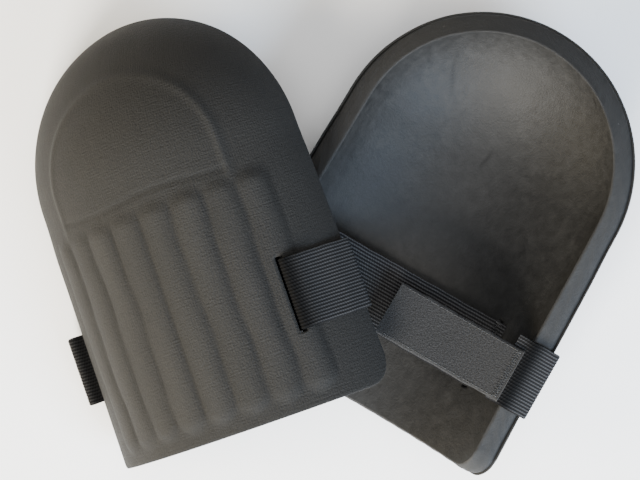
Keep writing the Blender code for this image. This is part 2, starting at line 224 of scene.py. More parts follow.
def foam_material():
    """Closed-cell foam: softly mottled, with fine pores, dark rubbed creases and a paler cut rim."""
    n = Nodes("foam_charcoal_detail")
    uv = n.add("ShaderNodeTexCoord").outputs["UV"]
    pores = n.add("ShaderNodeTexVoronoi", Scale=1.0, Randomness=1.0)
    n.join(n.scaled(uv, (620.0, 620.0, 1.0)), pores.inputs["Vector"])
    grain = n.noise(uv, 820.0, 4.0, 0.65)
    mottle = n.noise(uv, 150.0, 7.0, 0.72)
    patch = n.noise(uv, 44.0, 4.0, 0.6)
    cloud = n.noise(uv, 14.0, 3.0, 0.55)
    marks = n.add("ShaderNodeAttribute", attribute_name="mark").outputs["Fac"]
    cut = n.add("ShaderNodeAttribute", attribute_name="cut").outputs["Fac"]
    base = n.ramp(mottle, [(0.34, (0.0105, 0.0104, 0.0102)), (0.66, (0.038, 0.0376, 0.0368))])
    base = n.mix(n.ramp(patch, [(0.38, (0.0, 0.0, 0.0)), (0.62, (0.8, 0.8, 0.8))]), base,
                 (0.0145, 0.0145, 0.0143))
    base = n.mix(n.math("MULTIPLY", cloud, 0.30), base, (0.018, 0.0178, 0.0173))
    base = n.mix(n.math("MULTIPLY", grain, 0.30), base, (0.038, 0.0375, 0.0362))
    base = n.mix(n.math("MULTIPLY", cut, 0.70), base, (0.036, 0.0358, 0.0352))
    base = n.mix(n.math("MULTIPLY", marks, 0.85), base, (0.004, 0.004, 0.004))
    height = n.math("ADD", n.math("MULTIPLY", pores.outputs["Distance"], 0.35), grain)
    height = n.math("ADD", height, n.math("MULTIPLY", n.math("MULTIPLY", grain, cut), 1.6))
    normal = n.bump(height, 0.35, 0.0005)
    normal = n.bump(patch, 0.22, 0.0022, normal)
    rough = n.math("ADD", n.math("MULTIPLY", mottle, 0.30), n.math("MULTIPLY", cut, 0.30))
    rough = n.math("ADD", rough, 0.44)
    return n.finish(base, normal, rough, 0.0, 0.5, 0.22)


def webbing_material():
    """Ribbed elastic webbing: painted shade in the valleys and a painted highlight on the rib crests,
    twilled yarns on the ribs, painted shade at the folds.
    """
    n = Nodes("elastic_webbing_detail")
    uv = n.add("ShaderNodeTexCoord").outputs["UV"]
    parts = n.add("ShaderNodeSeparateXYZ")
    n.join(uv, parts.inputs[0])
    along, side = parts.outputs[0], parts.outputs[1]
    rib = n.math("SINE", n.math("MULTIPLY", side, 2 * math.pi / WEB_RIB_PITCH))
    crest = n.math("ADD", n.math("MULTIPLY", rib, 0.5), 0.5)
    slant = n.math("ADD", n.math("MULTIPLY", along, 2 * math.pi / 0.0015),
                   n.math("MULTIPLY", side, 2 * math.pi / 0.0035))
    twill = n.math("ADD", n.math("MULTIPLY", n.math("SINE", slant), 0.5), 0.5)
    fuzz = n.noise(uv, 1300.0, 3.0, 0.7)
    mottle = n.noise(uv, 160.0, 4.0, 0.6)
    # painted highlight on the rib crests and painted shade in the valleys, broken by the twill and fuzz
    mask = n.math("MULTIPLY", crest, n.math("ADD", n.math("MULTIPLY", twill, 0.26), 0.74))
    mask = n.math("MULTIPLY", mask, n.math("ADD", n.math("MULTIPLY", fuzz, 0.9), 0.55))
    base = n.ramp(mask, [(0.05, (0.004, 0.004, 0.0044)), (0.45, (0.026, 0.026, 0.027)),
                         (0.95, (0.094, 0.094, 0.096))])
    base = n.mix(n.math("MULTIPLY", mottle, 0.25), base, (0.016, 0.016, 0.017))
    base = n.mix(n.math("MULTIPLY", fuzz, 0.16), base, (0.075, 0.075, 0.077))
    # painted shade at the folds near the slot and round the rim
    crease = n.add("ShaderNodeAttribute", attribute_name="fold_shade").outputs["Fac"]
    base = n.mix(n.math("MULTIPLY", crease, 0.93), base, (0.003, 0.003, 0.0032))
    height = n.math("ADD", n.math("MULTIPLY", crest, 0.8), n.math("MULTIPLY", twill, 0.40))
    height = n.math("ADD", height, n.math("MULTIPLY", fuzz, 0.5))
    normal = n.bump(height, 0.7, 0.00035)
    return n.finish(base, normal, 0.82, 0.0, 0.4, 0.04)


def loop_material():
    """Brushed loop pile: pale grey fuzz with a nap that shifts in patches."""
    n = Nodes("loop_tape_detail")
    uv = n.add("ShaderNodeTexCoord").outputs["UV"]
    fuzz = n.noise(n.scaled(uv, (1.0, 1.25, 1.0)), 1250.0, 3.0, 0.7)
    loops = n.add("ShaderNodeTexVoronoi", Scale=1.0, Randomness=0.9)
    n.join(n.scaled(uv, (900.0, 1050.0, 1.0)), loops.inputs["Vector"])
    nap = n.noise(uv, 60.0, 4.0, 0.6)
    sweep = n.noise(n.scaled(uv, (1.0, 3.0, 1.0)), 26.0, 2.0, 0.5)
    worn = n.add("ShaderNodeAttribute", attribute_name="worn").outputs["Fac"]
    base = n.ramp(fuzz, [(0.34, (0.010, 0.010, 0.010)), (0.66, (0.062, 0.062, 0.062))])
    base = n.mix(n.math("MULTIPLY", nap, 0.40), base, (0.020, 0.020, 0.0205))
    base = n.mix(n.math("MULTIPLY", sweep, 0.25), base, (0.052, 0.052, 0.054))
    base = n.mix(n.math("MULTIPLY", worn, 0.30), base, (0.070, 0.070, 0.070))
    height = n.math("ADD", fuzz, n.math("MULTIPLY", loops.outputs["Distance"], 0.7))
    normal = n.bump(height, 0.7, 0.0005)
    return n.finish(base, normal, 0.92, 0.08, 0.35, 0.08)


def hook_material():
    """Rows of tiny moulded hooks on a dark woven ground."""
    n = Nodes("hook_tape_detail")
    uv = n.add("ShaderNodeTexCoord").outputs["UV"]
    dots = n.add("ShaderNodeTexVoronoi", Scale=1.0, Randomness=0.12)
    n.join(n.scaled(uv, (900.0, 900.0, 1.0)), dots.inputs["Vector"])
    grain = n.noise(uv, 2000.0, 2.0, 0.5)
    base = n.ramp(dots.outputs["Distance"], [(0.05, (0.060, 0.060, 0.062)), (0.6, (0.012, 0.012, 0.013))])
    base = n.mix(n.math("MULTIPLY", grain, 0.3), base, (0.045, 0.045, 0.046))
    height = n.math("SUBTRACT", 1.0, dots.outputs["Distance"])
    normal = n.bump(height, 0.9, 0.0007)
    return n.finish(base, normal, 0.5, 0.0, 0.5, 0.45)


def thread_material():
    """Twisted grey sewing thread."""
    n = Nodes("sewing_thread_detail")
    at = n.add("ShaderNodeTexCoord").outputs["Object"]
    twist = n.add("ShaderNodeTexWave", Scale=1500.0, Distortion=1.5)
    n.join(at, twist.inputs["Vector"])
    grain = n.noise(at, 3000.0, 2.0, 0.6)
    base = n.ramp(twist.outputs["Fac"], [(0.2, (0.045, 0.045, 0.045)), (0.8, (0.15, 0.15, 0.147))])
    base = n.mix(n.math("MULTIPLY", grain, 0.3), base, (0.20, 0.20, 0.196))
    return n.finish(base, n.bump(twist.outputs["Fac"], 0.6, 0.0002), 0.6, 0.2, 0.4, 0.3)


LOOKS = {
    "facing_knit": facing_material(), "foam_charcoal": foam_material(),
    "elastic_webbing": webbing_material(), "loop_tape": loop_material(),
    "hook_tape": hook_material(), "sewing_thread": thread_material(),
}


# ---------------------------------------------------------------- making meshes
def add_object(name, verts, faces, uvs, slot, attributes=()):
    """A smooth-shaded mesh with its texture coordinates, per-point values and material."""
    data = bpy.data.meshes.new(name)
    data.from_pydata(verts.tolist(), [], faces)
    layer = data.uv_layers.new(name="UVMap")
    loops = np.empty(len(data.loops), np.int32)
    data.loops.foreach_get("vertex_index", loops)
    layer.data.foreach_set("uv", uvs[loops].astype(np.float32).ravel())
    for key, values in attributes:
        made = data.attributes.new(key, "FLOAT", "POINT")
        made.data.foreach_set("value", values.astype(np.float32))
    data.polygons.foreach_set("use_smooth", np.ones(len(data.polygons), bool))
    data.materials.append(LOOKS[slot])
    data.update()
    made = bpy.data.objects.new(name, data)
    bpy.context.scene.collection.objects.link(made)
    return made


def smooth(value, low, high):
    """An eased step from 0 at low to 1 at high."""
    part = np.clip((value - low) / (high - low), 0.0, 1.0)
    return part * part * (3 - 2 * part)


def to_world(pad, points):
    """Points of a pad's own frame in the shared frame."""
    matrix = np.array(PLACE[pad])
    return points @ matrix[:3, :3].T + matrix[:3, 3]


# ---------------------------------------------------------------- the moulded shell
def shell_columns(slots):
    """Angles of the grid's columns, with one on each long edge of a slot."""
    angles = np.linspace(-EDGE_ANGLE, EDGE_ANGLE, GRID_ACROSS)
    half = SLOT_WIDTH / 2 / RADIUS
    for slot in slots:
        for edge in (slot - half, slot + half):
            angles[np.argmin(np.abs(angles - edge))] = edge
    return angles


def shell_rows():
    """Distances of the straight part's rows, with one on each short edge of a slot."""
    rows = np.linspace(0.0, DOME_START, GRID_ALONG)
    for edge in (STRAP_Y - SLOT_LENGTH / 2, STRAP_Y + SLOT_LENGTH / 2):
        rows[np.argmin(np.abs(rows - edge))] = edge
    return rows


def corner_start(angle):
    """How far the rounded corners set the open edge back at an angle."""
    from_rim = (EDGE_ANGLE - np.abs(angle)) * RADIUS
    inside = np.clip(CORNER_RADIUS - from_rim, 0.0, CORNER_RADIUS)
    return CORNER_RADIUS - np.sqrt(CORNER_RADIUS**2 - inside**2)


def grid_coordinates(slots):
    """Across, up and y of every grid point: the straight part, then the dome."""
    angles, rows = shell_columns(slots), shell_rows()
    u = angles / EDGE_ANGLE
    across, up, ys = [], [], []
    start = corner_start(angles)
    for y in rows:
        across.append(u)
        up.append(np.zeros_like(u))
        ys.append(np.where(y > CORNER_BLEND, y, start + y * (CORNER_BLEND - start) / CORNER_BLEND))
    for t in np.sin(np.linspace(0, math.pi / 2, GRID_DOME)[1:]):
        across.append(u * np.sqrt(1 - t * t / 2))
        up.append(t * np.sqrt(1 - u * u / 2))
        ys.append(np.full_like(u, DOME_START))
    return np.array(across), np.array(up), np.array(ys)


def shell_surface(across, up, y, lift):
    """Points of the dome, raised by lift along its radius."""
    reach = np.hypot(across, up)
    angle = reach * EDGE_ANGLE
    safe = np.maximum(reach, 1e-9)
    radius = RADIUS + lift
    flank = np.maximum(0.0, (angle - 0.75 * EDGE_ANGLE) / (0.25 * EDGE_ANGLE))
    narrow = DOME_NARROWING * flank * flank
    widening = np.where(up == 0, narrow * (1 - y / DOME_START), 0.0)
    spread = radius * np.sin(angle)
    x = across / safe * (spread - narrow + widening)
    return np.stack([x, y + up / safe * (spread - narrow), radius * np.cos(angle) - AXIS_DROP], -1)


def wobble(x, y, seed):
    """Soft unevenness of a moulded surface, from a few fixed waves."""
    total = np.zeros_like(x)
    for k, (fx, fy, size) in enumerate(((41, 23, 1.0), (17, 61, 0.8), (83, 37, 0.45), (59, 97, 0.35))):
        total += size * np.sin(fx * x + fy * y + 1.7 * k + seed) * np.cos(fy * x - fx * y + seed * 2.3)
    return total / 2.6


def rib_height(angle, y, seed):
    """Rounded ribs with soft, slightly wandering valleys and rounded ends."""
    wander = 0.035 * np.sin(y * 71 + angle * 5 + seed) + 0.016 * np.sin(y * 173 + angle * 11 - seed)
    phase = np.abs(angle + wander * RIB_PITCH * smooth(np.abs(angle), 0.0, 0.1)) / RIB_PITCH
    part = phase - np.floor(phase)
    profile = np.sin(math.pi * np.clip(part, 0, 1)) ** 0.62
    profile = np.where(phase < RIBS_PER_SIDE, profile, 0.0)
    profile = profile * (0.90 + 0.10 * np.sin(np.floor(phase) * 2.4 + y * 47 + seed))
    bow = 0.004 * np.sin(math.pi * np.clip(part, 0, 1))
    ends = smooth(y, RIB_START - bow, RIB_START + 0.007 - bow)
    ends = ends * (1 - smooth(y, RIB_END - 0.010 + bow * 0.5, RIB_END + bow * 0.3))
    return profile * ends


def outer_relief(across, up, y, seed):
    """Lift of the kneeling face over the plain dome, how much painted highlight each point gets on the rib
    crests and bead, and how much painted shade in the rib valleys and crease.
    """
    reach = np.hypot(across, up)
    angle = reach * EDGE_ANGLE
    ribs = np.where(up == 0, rib_height(across * EDGE_ANGLE, y, seed), 0.0)
    inside_group = (up == 0) & (np.abs(across) * EDGE_ANGLE < RIBS_PER_SIDE * RIB_PITCH * 1.02)
    inside_group = inside_group * smooth(y, RIB_START, 0.016) * (1 - smooth(y, 0.118, RIB_END))
    # painted shade in the rib valleys, inside the rib group
    valley_shade = np.clip(1 - ribs * 1.25, 0, 1) ** 2 * inside_group
    from_bead = (angle - BEAD_ANGLE) * RADIUS
    fade = np.where(up == 0, smooth(y, RIB_END - 0.012, RIB_END + 0.012), 1.0)
    bead = np.exp(-((from_bead / 0.0019) ** 2)) * fade
    outside = smooth(from_bead, -0.001, 0.006) * fade
    crease_y = RIB_END + 0.0045 + 0.0012 * np.sin(across * 9.0 + seed)
    crease = np.exp(-(((y - crease_y) / 0.0011) ** 2)) * (np.abs(across * EDGE_ANGLE) < BEAD_ANGLE)
    crease = np.where(up == 0, crease, 0.0)
    lift = RIB_HEIGHT * ribs + 0.0007 * bead - 0.00055 * outside - 0.0006 * crease
    lift += 0.00022 * wobble(across * 0.1, y + up * 0.1, seed)
    # painted highlight on the rib crests and the bead ridge
    worn = np.clip(ribs**3 * 0.8 + bead * 0.9, 0, 1)
    # the crease at the rib ends gets painted shade at half strength
    return lift, worn, np.clip(valley_shade + crease * 0.5, 0, 1)


def inner_relief(across, up, y, seed):
    """Soft unevenness of the hollow."""
    x = across * EDGE_ANGLE * RADIUS
    v = y + up * EDGE_ANGLE * RADIUS
    return 0.0004 * wobble(x * 0.9, v * 0.9, seed + 2.0)


SCRATCHES = (((0.053, 0.206), (0.042, 0.175), 0.0013), ((0.001, 0.160), (0.000, 0.144), 0.0012),
             ((-0.050, 0.231), (-0.052, 0.221), 0.0012), ((0.030, 0.110), (0.036, 0.104), 0.0005),
             ((-0.055, 0.110), (-0.046, 0.106), 0.0005), ((0.012, 0.190), (0.020, 0.187), 0.0005))


def scratch_marks(x, v):
    """Dark rubbed creases: distance from a few short bent lines."""
    total = np.zeros_like(x)
    for (ax, ay), (bx, by), wide in SCRATCHES:
        dx, dy = bx - ax, by - ay
        t = np.clip(((x - ax) * dx + (v - ay) * dy) / (dx * dx + dy * dy), 0, 1)
        bend = 0.0012 * np.sin(t * 5.0 + ax * 300)
        away = np.hypot(x - ax - t * dx + bend, v - ay - t * dy)
        total = np.maximum(total, np.exp(-((away / wide) ** 2)) * np.sin(math.pi * (0.08 + 0.84 * t)))
    return total


def shell_mesh(pad, name, slots, outer_lift, inner_lift, slot, seed, rim_steps, bulge):
    """A closed shell with its slots left open and its rim rounded over."""
    across, up, y = grid_coordinates(slots)
    angles, rows = shell_columns(slots), shell_rows()
    relief, worn, valley_shade = outer_relief(across, up, y, seed)
    outer = shell_surface(across, up, y, outer_lift + relief)
    if slot == "facing_knit":
        inner = shell_surface(across, up, y, inner_lift + relief)
    else:
        inner = shell_surface(across, up, y, inner_lift + inner_relief(across, up, y, seed))
    n, m = across.shape
    u = across * EDGE_ANGLE * RADIUS
    v = y + up * EDGE_ANGLE * RADIUS
    slot_rows = [int(np.argmin(np.abs(rows - e))) for e in
                 (STRAP_Y - SLOT_LENGTH / 2, STRAP_Y + SLOT_LENGTH / 2)]
    windows = []
    for at in slots:
        ends = [int(np.argmin(np.abs(angles - at - d * SLOT_WIDTH / 2 / RADIUS))) for d in (-1, 1)]
        windows.append((slot_rows[0], slot_rows[1], min(ends), max(ends)))

    def in_window(i, j):
        return any(a <= i < b and c <= j < d for a, b, c, d in windows)

    def pull(points):
        """Boundary points drawn back along the surface, to leave room for the rounded rim."""
        moved = points.copy()
        for line, inside in ((np.s_[0, :], np.s_[1, :]), (np.s_[-1, :], np.s_[-2, :]),
                             (np.s_[:, 0], np.s_[:, 1]), (np.s_[:, -1], np.s_[:, -2])):
            way = points[inside] - points[line]
            size = np.linalg.norm(way, axis=-1, keepdims=True)
            moved[line] = points[line] + way / np.maximum(size, 1e-9) * np.minimum(bulge, size * 0.75)
        return moved

    drawn_outer, drawn_inner = pull(outer), pull(inner)
    verts = [drawn_outer.reshape(-1, 3), drawn_inner.reshape(-1, 3)]
    uvs = [np.stack([u, v], -1).reshape(-1, 2)] * 2
    count = n * m
    marks = [np.zeros(count), scratch_marks(u, v).ravel()]
    cuts = [np.zeros(count), np.zeros(count)]
    # painted highlight on the rib crests and bead, outer face only
    crest = [worn.ravel(), worn.ravel() * 0]
    # painted shade in the rib valleys and crease, outer face only
    valleys = [valley_shade.ravel(), valley_shade.ravel() * 0]
    faces = []
    for layer, flip in ((0, False), (1, True)):
        for i in range(n - 1):
            for j in range(m - 1):
                if in_window(i, j):
                    continue
                a = layer * count + i * m + j
                face = (a, a + 1, a + m + 1, a + m)
                faces.append(face[::-1] if flip else face)
    loop = [(0, j) for j in range(m)] + [(i, m - 1) for i in range(1, n)]
    loop += [(n - 1, j) for j in range(m - 2, -1, -1)] + [(i, 0) for i in range(n - 2, 0, -1)]
    li = np.array([a * m + b for a, b in loop])
    base_o, base_i = verts[0][li], verts[1][li]
    full_o, full_i = outer.reshape(-1, 3)[li], inner.reshape(-1, 3)[li]
    rings = [li]
    total = 2 * count
    for k in range(1, rim_steps):
        part = k / rim_steps
        out = (1 - abs(2 * part - 1) ** 3.2) ** 0.6
        ease = part + 0.10 * math.sin(2 * math.pi * part) * (1 - rim_steps / 99)
        base = base_o + (base_i - base_o) * ease
        push = (full_o - base_o) * (1 - ease) + (full_i - base_i) * ease
        rough = 1.0 + 0.10 * np.sin(np.arange(len(li)) * 0.7 + part * 9) * (slot == "foam_charcoal")
        verts.append(base + push * out * rough[:, None])
        uvs.append(np.stack([u.ravel()[li] + part * WALL, v.ravel()[li] + part * WALL], -1))
        marks.append(np.zeros(len(li)))
        cuts.append(np.full(len(li), math.sin(math.pi * part)))
        crest.append(np.zeros(len(li)))
        valleys.append(np.zeros(len(li)))
        rings.append(np.arange(total, total + len(li)))
        total += len(li)
    rings.append(li + count)
    for before, after in zip(rings, rings[1:]):
        for k in range(len(li)):
            q = (k + 1) % len(li)
            faces.append((int(before[q]), int(before[k]), int(after[k]), int(after[q])))
    for a, b, c, d in windows:
        edge = [(a, j) for j in range(c, d)] + [(i, d) for i in range(a, b)]
        edge += [(b, j) for j in range(d, c, -1)] + [(i, c) for i in range(b, a, -1)]
        for (i, j), (p, q) in zip(edge, edge[1:] + edge[:1]):
            k, w = i * m + j, p * m + q
            faces.append((k, w, w + count, k + count))
    verts = to_world(pad, np.concatenate(verts))
    piece = add_object(name, verts, faces, np.concatenate(uvs), slot,
                       (("mark", np.concatenate(marks)), ("cut", np.concatenate(cuts)),
                        ("crest", np.concatenate(crest)), ("valley_shade", np.concatenate(valleys))))
    tidy_mesh(piece)
    return piece


def tidy_mesh(piece):
    """Drops the points left over in the slots and turns the faces outwards."""
    mesh = bmesh.new()
    mesh.from_mesh(piece.data)
    bmesh.ops.delete(mesh, geom=[v for v in mesh.verts if not v.link_faces], context="VERTS")
    bmesh.ops.recalc_face_normals(mesh, faces=mesh.faces)
    mesh.to_mesh(piece.data)
    mesh.free()


# ---------------------------------------------------------------- strap paths, as in the CAD
def polar(angle, radius):
    """A point of the pad's cross-section, at an angle from the crown."""
    return Vector((radius * math.sin(angle), radius * math.cos(angle) - AXIS_DROP))


def rounded(corners, radius, steps=6):
    """A path with its sharp corners turned into arcs."""
    path = [corners[0]]
    for before, at, after in zip(corners, corners[1:], corners[2:]):
        come, go = (at - before).normalized(), (after - at).normalized()
        turn = math.acos(max(-1.0, min(1.0, come.dot(go))))
        if turn < 0.15:
            path.append(at)
            continue
        back = min(radius * math.tan(turn / 2), 0.45 * (at - before).length,
                   0.45 * (after - at).length)
        bend = back / math.tan(turn / 2)
        side = 1 if come.x * go.y - come.y * go.x > 0 else -1
        centre = at - come * back + Vector((-come.y, come.x)) * side * bend
        first = at - come * back - centre
        for i in range(steps + 1):
            a = side * turn * i / steps
            path.append(centre + Vector((first.x * math.cos(a) - first.y * math.sin(a),
                                         first.x * math.sin(a) + first.y * math.cos(a))))
    return path + [corners[-1]]


def loop_outer_run(side):
    """From the crown inside, out through the slot in the ribs, to the rim."""
    inside = RADIUS - WALL - WEB_CLEAR - WEB_THICK / 2
    outside = RADIUS + RIB_HEIGHT + WEB_CLEAR + WEB_THICK / 2
    flank = RADIUS + WEB_CLEAR + WEB_THICK / 2
    ribbed = RIBS_PER_SIDE * RIB_PITCH
    corners = [polar(side * LOOP_SLOT_ANGLE * part, inside) for part in (0.0, 0.3, 0.6, 1.0)]
    corners.append(polar(side * LOOP_SLOT_ANGLE, outside))
    for part in (0.45, 0.95):
        corners.append(polar(side * (LOOP_SLOT_ANGLE + (ribbed - LOOP_SLOT_ANGLE) * part), outside))
    for part in (0.3, 0.65, 1.0):
        corners.append(polar(side * (ribbed + (EDGE_ANGLE - ribbed) * part), flank))
    return corners


def tail_outer_run(side, slack):
    """From the crown inside, out through the slot near the rim, to the rim."""
    inside = RADIUS - WALL - WEB_CLEAR - WEB_THICK / 2
    flank = RADIUS + WEB_CLEAR + WEB_THICK / 2
    lifts = ((0.0, 1.0), (0.45, 1.0), (0.9, 0.75)) if slack else ((0.0, 0), (0.5, 0), (1.0, 0))
    return ([polar(side * TAIL_SLOT_ANGLE * i / 8, inside) for i in range(9)]
            + [polar(side * (TAIL_SLOT_ANGLE + (EDGE_ANGLE - TAIL_SLOT_ANGLE) * part),
                     flank + slack * lift) for part, lift in lifts])


def wrap(side, depth):
    """The two corners round the rim."""
    edge = polar(side * EDGE_ANGLE, RADIUS)
    past = Vector((side * math.cos(EDGE_ANGLE), -math.sin(EDGE_ANGLE)))
    inward = Vector((-side * math.sin(EDGE_ANGLE), -math.cos(EDGE_ANGLE)))
    off = WEB_CLEAR + WEB_THICK / 2
    return [edge - inward * off + past * off, edge + inward * (WALL + depth) + past * off]


def across_hollow(start, end_x, sag):
    """A stowed end lying across the hollow."""
    span = end_x - start.x
    return [start + Vector((span * part, sag * math.sin(part * math.pi * 0.55)))
            for part in (0.12, 0.25, 0.4, 0.55, 0.7, 0.85, 1.0)]


def along_wall(side, end_angle, depth, steps):
    """A tucked end following the inner wall."""
    inner, start = RADIUS - WALL - depth, EDGE_ANGLE - 0.03
    return [polar(side * (start + (end_angle - start) * i / steps), inner)
            for i in range(1, steps + 1)]


def resample(path, step):
    """Points evenly spaced along the path, softened so that bends read as cloth."""
    pts = np.array([tuple(p) for p in path])
    gaps = np.linalg.norm(np.diff(pts, axis=0), axis=1)
    dist = np.concatenate([[0.0], np.cumsum(gaps)])
    count = max(6, int(dist[-1] / step))
    at = np.linspace(0, dist[-1], count + 1)
    out = np.stack([np.interp(at, dist, pts[:, k]) for k in range(2)], -1)
    for _ in range(2):
        out[1:-1] = out[1:-1] * 0.5 + (out[:-2] + out[2:]) * 0.25
    return out


def beside(points, distance):
    """A path moved sideways, towards the foam when distance is positive."""
    along = np.gradient(points, axis=0)
    along /= np.linalg.norm(along, axis=1, keepdims=True)
    normal = np.stack([-along[:, 1], along[:, 0]], -1)
    sign = np.where(normal[:, 1:] > 0, 1.0, -1.0)
    return points + normal * sign * distance


def band(pad, name, points, thick, width, slot, ribs=0, rib_depth=0.0, y_at=STRAP_Y,
         ripple=0.0, seed=0.0, round_edge=0.35, span=(0, None), creases=()):
    """A strip of webbing or tape with its ribs as real relief on both faces and soft edges."""
    along = np.gradient(points, axis=0)
    along /= np.linalg.norm(along, axis=1, keepdims=True)
    normal = np.stack([-along[:, 1], along[:, 0]], -1)
    step = np.linalg.norm(np.diff(points, axis=0), axis=1)
    dist = np.concatenate([[0.0], np.cumsum(step)])
    per = ribs * POINTS_PER_RIB if ribs else FLAT_POINTS
    s = np.linspace(-1, 1, per + 1)
    edge = np.clip((1 - np.abs(s)) * width / 2 / (thick * 0.8), 0, 1)
    half = thick / 2 * (round_edge + (1 - round_edge) * np.sqrt(1 - (1 - edge) ** 2))
    if ribs:
        half = half - rib_depth * (0.5 + 0.5 * np.cos(ribs * math.pi * (s + 1)))
    ring_s = np.concatenate([s, s[::-1]])
    ring_h = np.concatenate([half, -half[::-1]])
    # painted shade at the folds, from the distances and widths given in creases
    shade = sum(np.exp(-(((dist - at) / wide) ** 2)) for at, wide in creases) + dist * 0.0
    first, last = span
    points, normal, dist, shade = (a[first:last] for a in (points, normal, dist, shade))
    count, ring = len(points), len(ring_s)
    wave = ripple * np.sin(dist * 210 + seed) + ripple * 0.6 * np.sin(dist * 530 + seed * 3)
    verts = np.zeros((count, ring, 3))
    uvs = np.zeros((count, ring, 2))
    for k in range(ring):
        lift = ring_h[k]
        verts[:, k, 0] = points[:, 0] + normal[:, 0] * lift
        verts[:, k, 2] = points[:, 1] + normal[:, 1] * lift
        verts[:, k, 1] = y_at + ring_s[k] * width / 2 + wave * ring_s[k] * ring_s[k] * np.sign(ring_s[k])
        uvs[:, k, 0] = dist
        uvs[:, k, 1] = ring_s[k] * width / 2 + 0.02
    faces = []
    for i in range(count - 1):
        for k in range(ring):
            q = (k + 1) % ring
            faces.append((i * ring + k, i * ring + q, (i + 1) * ring + q, (i + 1) * ring + k))
    for end, flip in ((0, True), (count - 1, False)):
        for k in range(per):
            face = (end * ring + k, end * ring + k + 1, end * ring + ring - 2 - k,
                    end * ring + ring - 1 - k)
            faces.append(face[::-1] if flip else face)
    edge_worn = np.tile(smooth(np.abs(ring_s), 0.93, 1.0), count)
    piece = add_object(name, to_world(pad, verts.reshape(-1, 3)), faces, uvs.reshape(-1, 2), slot,
                       (("worn", edge_worn), ("fold_shade", np.repeat(np.clip(shade, 0, 1), ring))))
    mesh = bmesh.new()
    mesh.from_mesh(piece.data)
    bmesh.ops.remove_doubles(mesh, verts=mesh.verts, dist=1e-6)
    bmesh.ops.recalc_face_normals(mesh, faces=mesh.faces)
    for edge in mesh.edges:
        if len(edge.link_faces) == 2 and edge.calc_face_angle(0.0) > CAP_CORNER:
            edge.smooth = False
    mesh.to_mesh(piece.data)
    mesh.free()
    return piece


def stitches(pad, name, points, thickness, slot="sewing_thread"):
    """Thread as a thin tube along local 3-D points."""
    curve = bpy.data.curves.new(name, "CURVE")
    curve.dimensions = "3D"
    curve.bevel_depth = thickness / 2
    curve.bevel_resolution = 2
    for line in points:
        spline = curve.splines.new("POLY")
        spline.points.add(len(line) - 1)
        world = to_world(pad, np.array(line))
        for point, at in zip(spline.points, world):
            point.co = (*at, 1.0)
    source = bpy.data.objects.new(name + "_path", curve)
    bpy.context.scene.collection.objects.link(source)
    data = bpy.data.meshes.new_from_object(source.evaluated_get(bpy.context.evaluated_depsgraph_get()))
    bpy.data.objects.remove(source, do_unlink=True)
    bpy.data.curves.remove(curve)
    data.name = name
    data.materials.clear()
    data.materials.append(LOOKS[slot])
    made = bpy.data.objects.new(name, data)
    bpy.context.scene.collection.objects.link(made)
    return made


def frame_at(points, distance):
    """Point, direction and normal (towards the foam) at a distance along a path."""
    gaps = np.linalg.norm(np.diff(points, axis=0), axis=1)
    dist = np.concatenate([[0.0], np.cumsum(gaps)])
    if distance < 0:
        distance += dist[-1]
    at = np.array([np.interp(distance, dist, points[:, k]) for k in range(2)])
    k = min(max(int(np.searchsorted(dist, distance)), 1), len(points) - 1)
    way = points[k] - points[k - 1]
    way /= np.linalg.norm(way)
    normal = np.array([-way[1], way[0]])
    return at, way, normal * (1 if normal[1] > 0 else -1)


def zigzag(points, start, length, width, rows, lift, y_at=STRAP_Y):
    """A bar tack: a dense zigzag across the strap, lying on its face."""
    line = []
    for i in range(rows * 2 + 1):
        at, _, normal = frame_at(points, start + length * (i % 2))
        flat = at + normal * lift
        line.append((flat[0], y_at - width / 2 + width * i / (rows * 2), flat[1]))
    return line


def seam_line(points, start, end, y, lift, pitch=0.0028):
    """Lock stitches: short raised dashes with gaps, along the strap."""
    lines, at = [], start
    while at + pitch < end:
        dash = []
        for part, up in ((0.0, -0.25), (0.2, 0.6), (0.5, 1.0), (0.6, 0.6), (0.78, -0.25)):
            p, _, normal = frame_at(points, at + pitch * part)
            q = p + normal * (lift + np.sign(lift) * 0.00012 * up)
            dash.append((q[0], y, q[1]))
        lines.append(dash)
        at += pitch
    return lines


